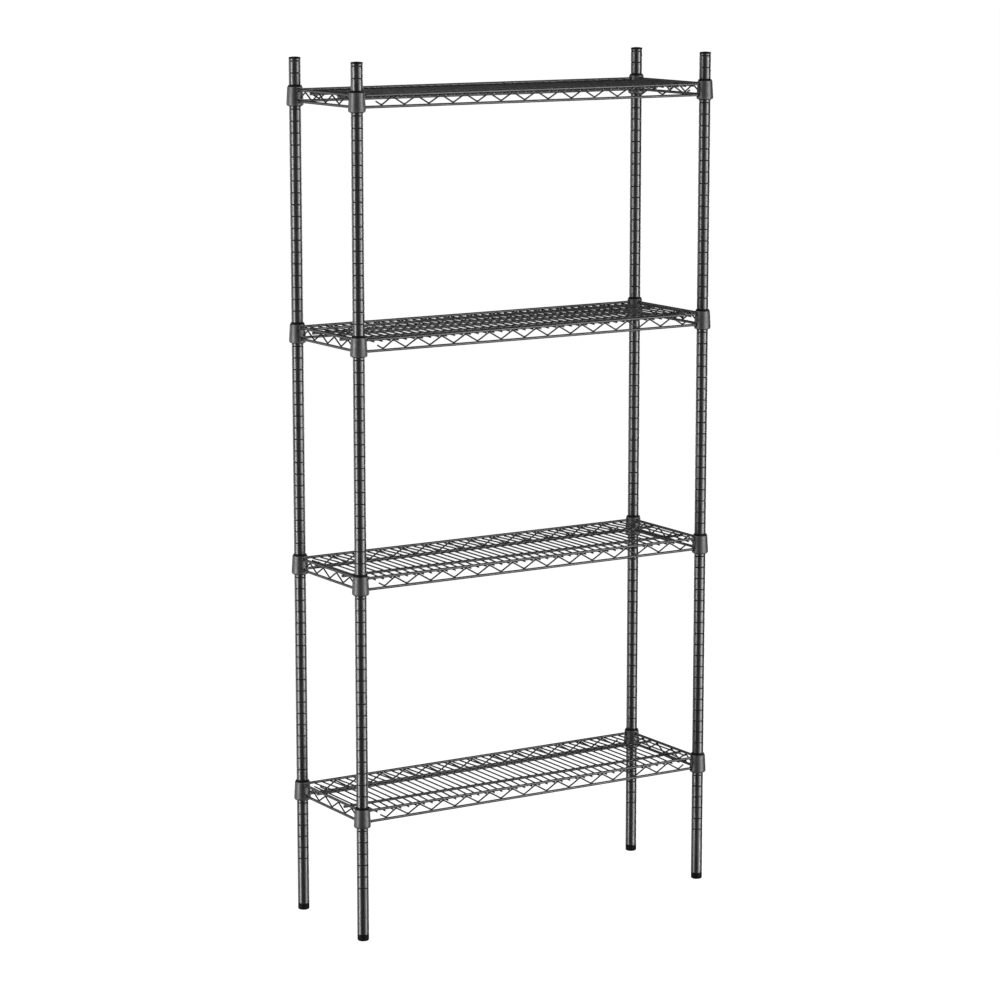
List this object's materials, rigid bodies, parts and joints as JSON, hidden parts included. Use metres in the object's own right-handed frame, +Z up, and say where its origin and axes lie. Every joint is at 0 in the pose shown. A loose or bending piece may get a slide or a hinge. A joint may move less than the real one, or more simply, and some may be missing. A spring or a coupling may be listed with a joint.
{
  "type": "wire shelving rack",
  "caption": "Free-standing wire shelving rack: grooved tube posts, lift-off wire shelves with zigzag edges on split taper sleeves, and screw-adjusted levelling feet.",
  "frame": {"origin": "on the floor, at the middle of the footprint", "axes": "+X along the shelves, +Y from the front posts to the rear posts, +Z up"},
  "size_m": [0.9144, 0.3046, 1.8796],
  "materials": {
    "epoxy_steel": "semi-gloss dark grey epoxy coat on steel",
    "black_plastic": "satin black moulded plastic",
    "zinc_steel": "zinc-plated steel"
  },
  "bodies": {
    "posts": {"post_front_left": "epoxy_steel", "post_cap_front_left": "black_plastic", "foot_insert_front_left": "zinc_steel", "post_front_right": "epoxy_steel", "post_cap_front_right": "black_plastic", "foot_insert_front_right": "zinc_steel", "post_rear_left": "epoxy_steel", "post_cap_rear_left": "black_plastic", "foot_insert_rear_left": "zinc_steel", "post_rear_right": "epoxy_steel", "post_cap_rear_right": "black_plastic", "foot_insert_rear_right": "zinc_steel", "shelf_1_sleeve_front_halves": "black_plastic", "shelf_1_sleeve_rear_halves": "black_plastic", "shelf_2_sleeve_front_halves": "black_plastic", "shelf_2_sleeve_rear_halves": "black_plastic", "shelf_3_sleeve_front_halves": "black_plastic", "shelf_3_sleeve_rear_halves": "black_plastic", "shelf_4_sleeve_front_halves": "black_plastic", "shelf_4_sleeve_rear_halves": "black_plastic"},
    "shelf_1": {"shelf_1_collars": "epoxy_steel", "shelf_1_top_rim": "epoxy_steel", "shelf_1_low_rim": "epoxy_steel", "shelf_1_stringers": "epoxy_steel", "shelf_1_deck_wires": "epoxy_steel", "shelf_1_trusses": "epoxy_steel"},
    "shelf_2": {"shelf_2_collars": "epoxy_steel", "shelf_2_top_rim": "epoxy_steel", "shelf_2_low_rim": "epoxy_steel", "shelf_2_stringers": "epoxy_steel", "shelf_2_deck_wires": "epoxy_steel", "shelf_2_trusses": "epoxy_steel"},
    "shelf_3": {"shelf_3_collars": "epoxy_steel", "shelf_3_top_rim": "epoxy_steel", "shelf_3_low_rim": "epoxy_steel", "shelf_3_stringers": "epoxy_steel", "shelf_3_deck_wires": "epoxy_steel", "shelf_3_trusses": "epoxy_steel"},
    "shelf_4": {"shelf_4_collars": "epoxy_steel", "shelf_4_top_rim": "epoxy_steel", "shelf_4_low_rim": "epoxy_steel", "shelf_4_stringers": "epoxy_steel", "shelf_4_deck_wires": "epoxy_steel", "shelf_4_trusses": "epoxy_steel"},
    "pad_front_left": {"foot_pad_front_left": "black_plastic"},
    "stem_front_left": {"foot_stem_front_left": "zinc_steel"},
    "pad_front_right": {"foot_pad_front_right": "black_plastic"},
    "stem_front_right": {"foot_stem_front_right": "zinc_steel"},
    "pad_rear_left": {"foot_pad_rear_left": "black_plastic"},
    "stem_rear_left": {"foot_stem_rear_left": "zinc_steel"},
    "pad_rear_right": {"foot_pad_rear_right": "black_plastic"},
    "stem_rear_right": {"foot_stem_rear_right": "zinc_steel"}
  },
  "joints": [
    {"name": "shelf_1_lift", "type": "slide", "parent": "posts", "child": "shelf_1", "axis": [0, 0, 1], "range_m": [0, 0.45]},
    {"name": "shelf_2_lift", "type": "slide", "parent": "posts", "child": "shelf_2", "axis": [0, 0, 1], "range_m": [0, 0.45]},
    {"name": "shelf_3_lift", "type": "slide", "parent": "posts", "child": "shelf_3", "axis": [0, 0, 1], "range_m": [0, 0.45]},
    {"name": "shelf_4_lift", "type": "slide", "parent": "posts", "child": "shelf_4", "axis": [0, 0, 1], "range_m": [0, 0.15]},
    {"name": "foot_front_left_height", "type": "slide", "parent": "posts", "child": "pad_front_left", "axis": [0, 0, -1], "range_m": [0, 0.0119]},
    {"name": "foot_front_left_turn", "type": "hinge", "parent": "pad_front_left", "child": "stem_front_left", "pos_m": [-0.4387, -0.1339, 0], "axis": [0, 0, -1], "range_deg": [0, 2700]},
    {"name": "foot_front_right_height", "type": "slide", "parent": "posts", "child": "pad_front_right", "axis": [0, 0, -1], "range_m": [0, 0.0119]},
    {"name": "foot_front_right_turn", "type": "hinge", "parent": "pad_front_right", "child": "stem_front_right", "pos_m": [0.4387, -0.1339, 0], "axis": [0, 0, -1], "range_deg": [0, 2700]},
    {"name": "foot_rear_left_height", "type": "slide", "parent": "posts", "child": "pad_rear_left", "axis": [0, 0, -1], "range_m": [0, 0.0119]},
    {"name": "foot_rear_left_turn", "type": "hinge", "parent": "pad_rear_left", "child": "stem_rear_left", "pos_m": [-0.4387, 0.1339, 0], "axis": [0, 0, -1], "range_deg": [0, 2700]},
    {"name": "foot_rear_right_height", "type": "slide", "parent": "posts", "child": "pad_rear_right", "axis": [0, 0, -1], "range_m": [0, 0.0119]},
    {"name": "foot_rear_right_turn", "type": "hinge", "parent": "pad_rear_right", "child": "stem_rear_right", "pos_m": [0.4387, 0.1339, 0], "axis": [0, 0, -1], "range_deg": [0, 2700]}
  ],
  "couplings": [
    {"joint": "foot_front_left_turn", "follows": "foot_front_left_height", "rad_per_m": 3957.9},
    {"joint": "foot_front_right_turn", "follows": "foot_front_right_height", "rad_per_m": 3957.9},
    {"joint": "foot_rear_left_turn", "follows": "foot_rear_left_height", "rad_per_m": 3957.9},
    {"joint": "foot_rear_right_turn", "follows": "foot_rear_right_height", "rad_per_m": 3957.9}
  ]
}
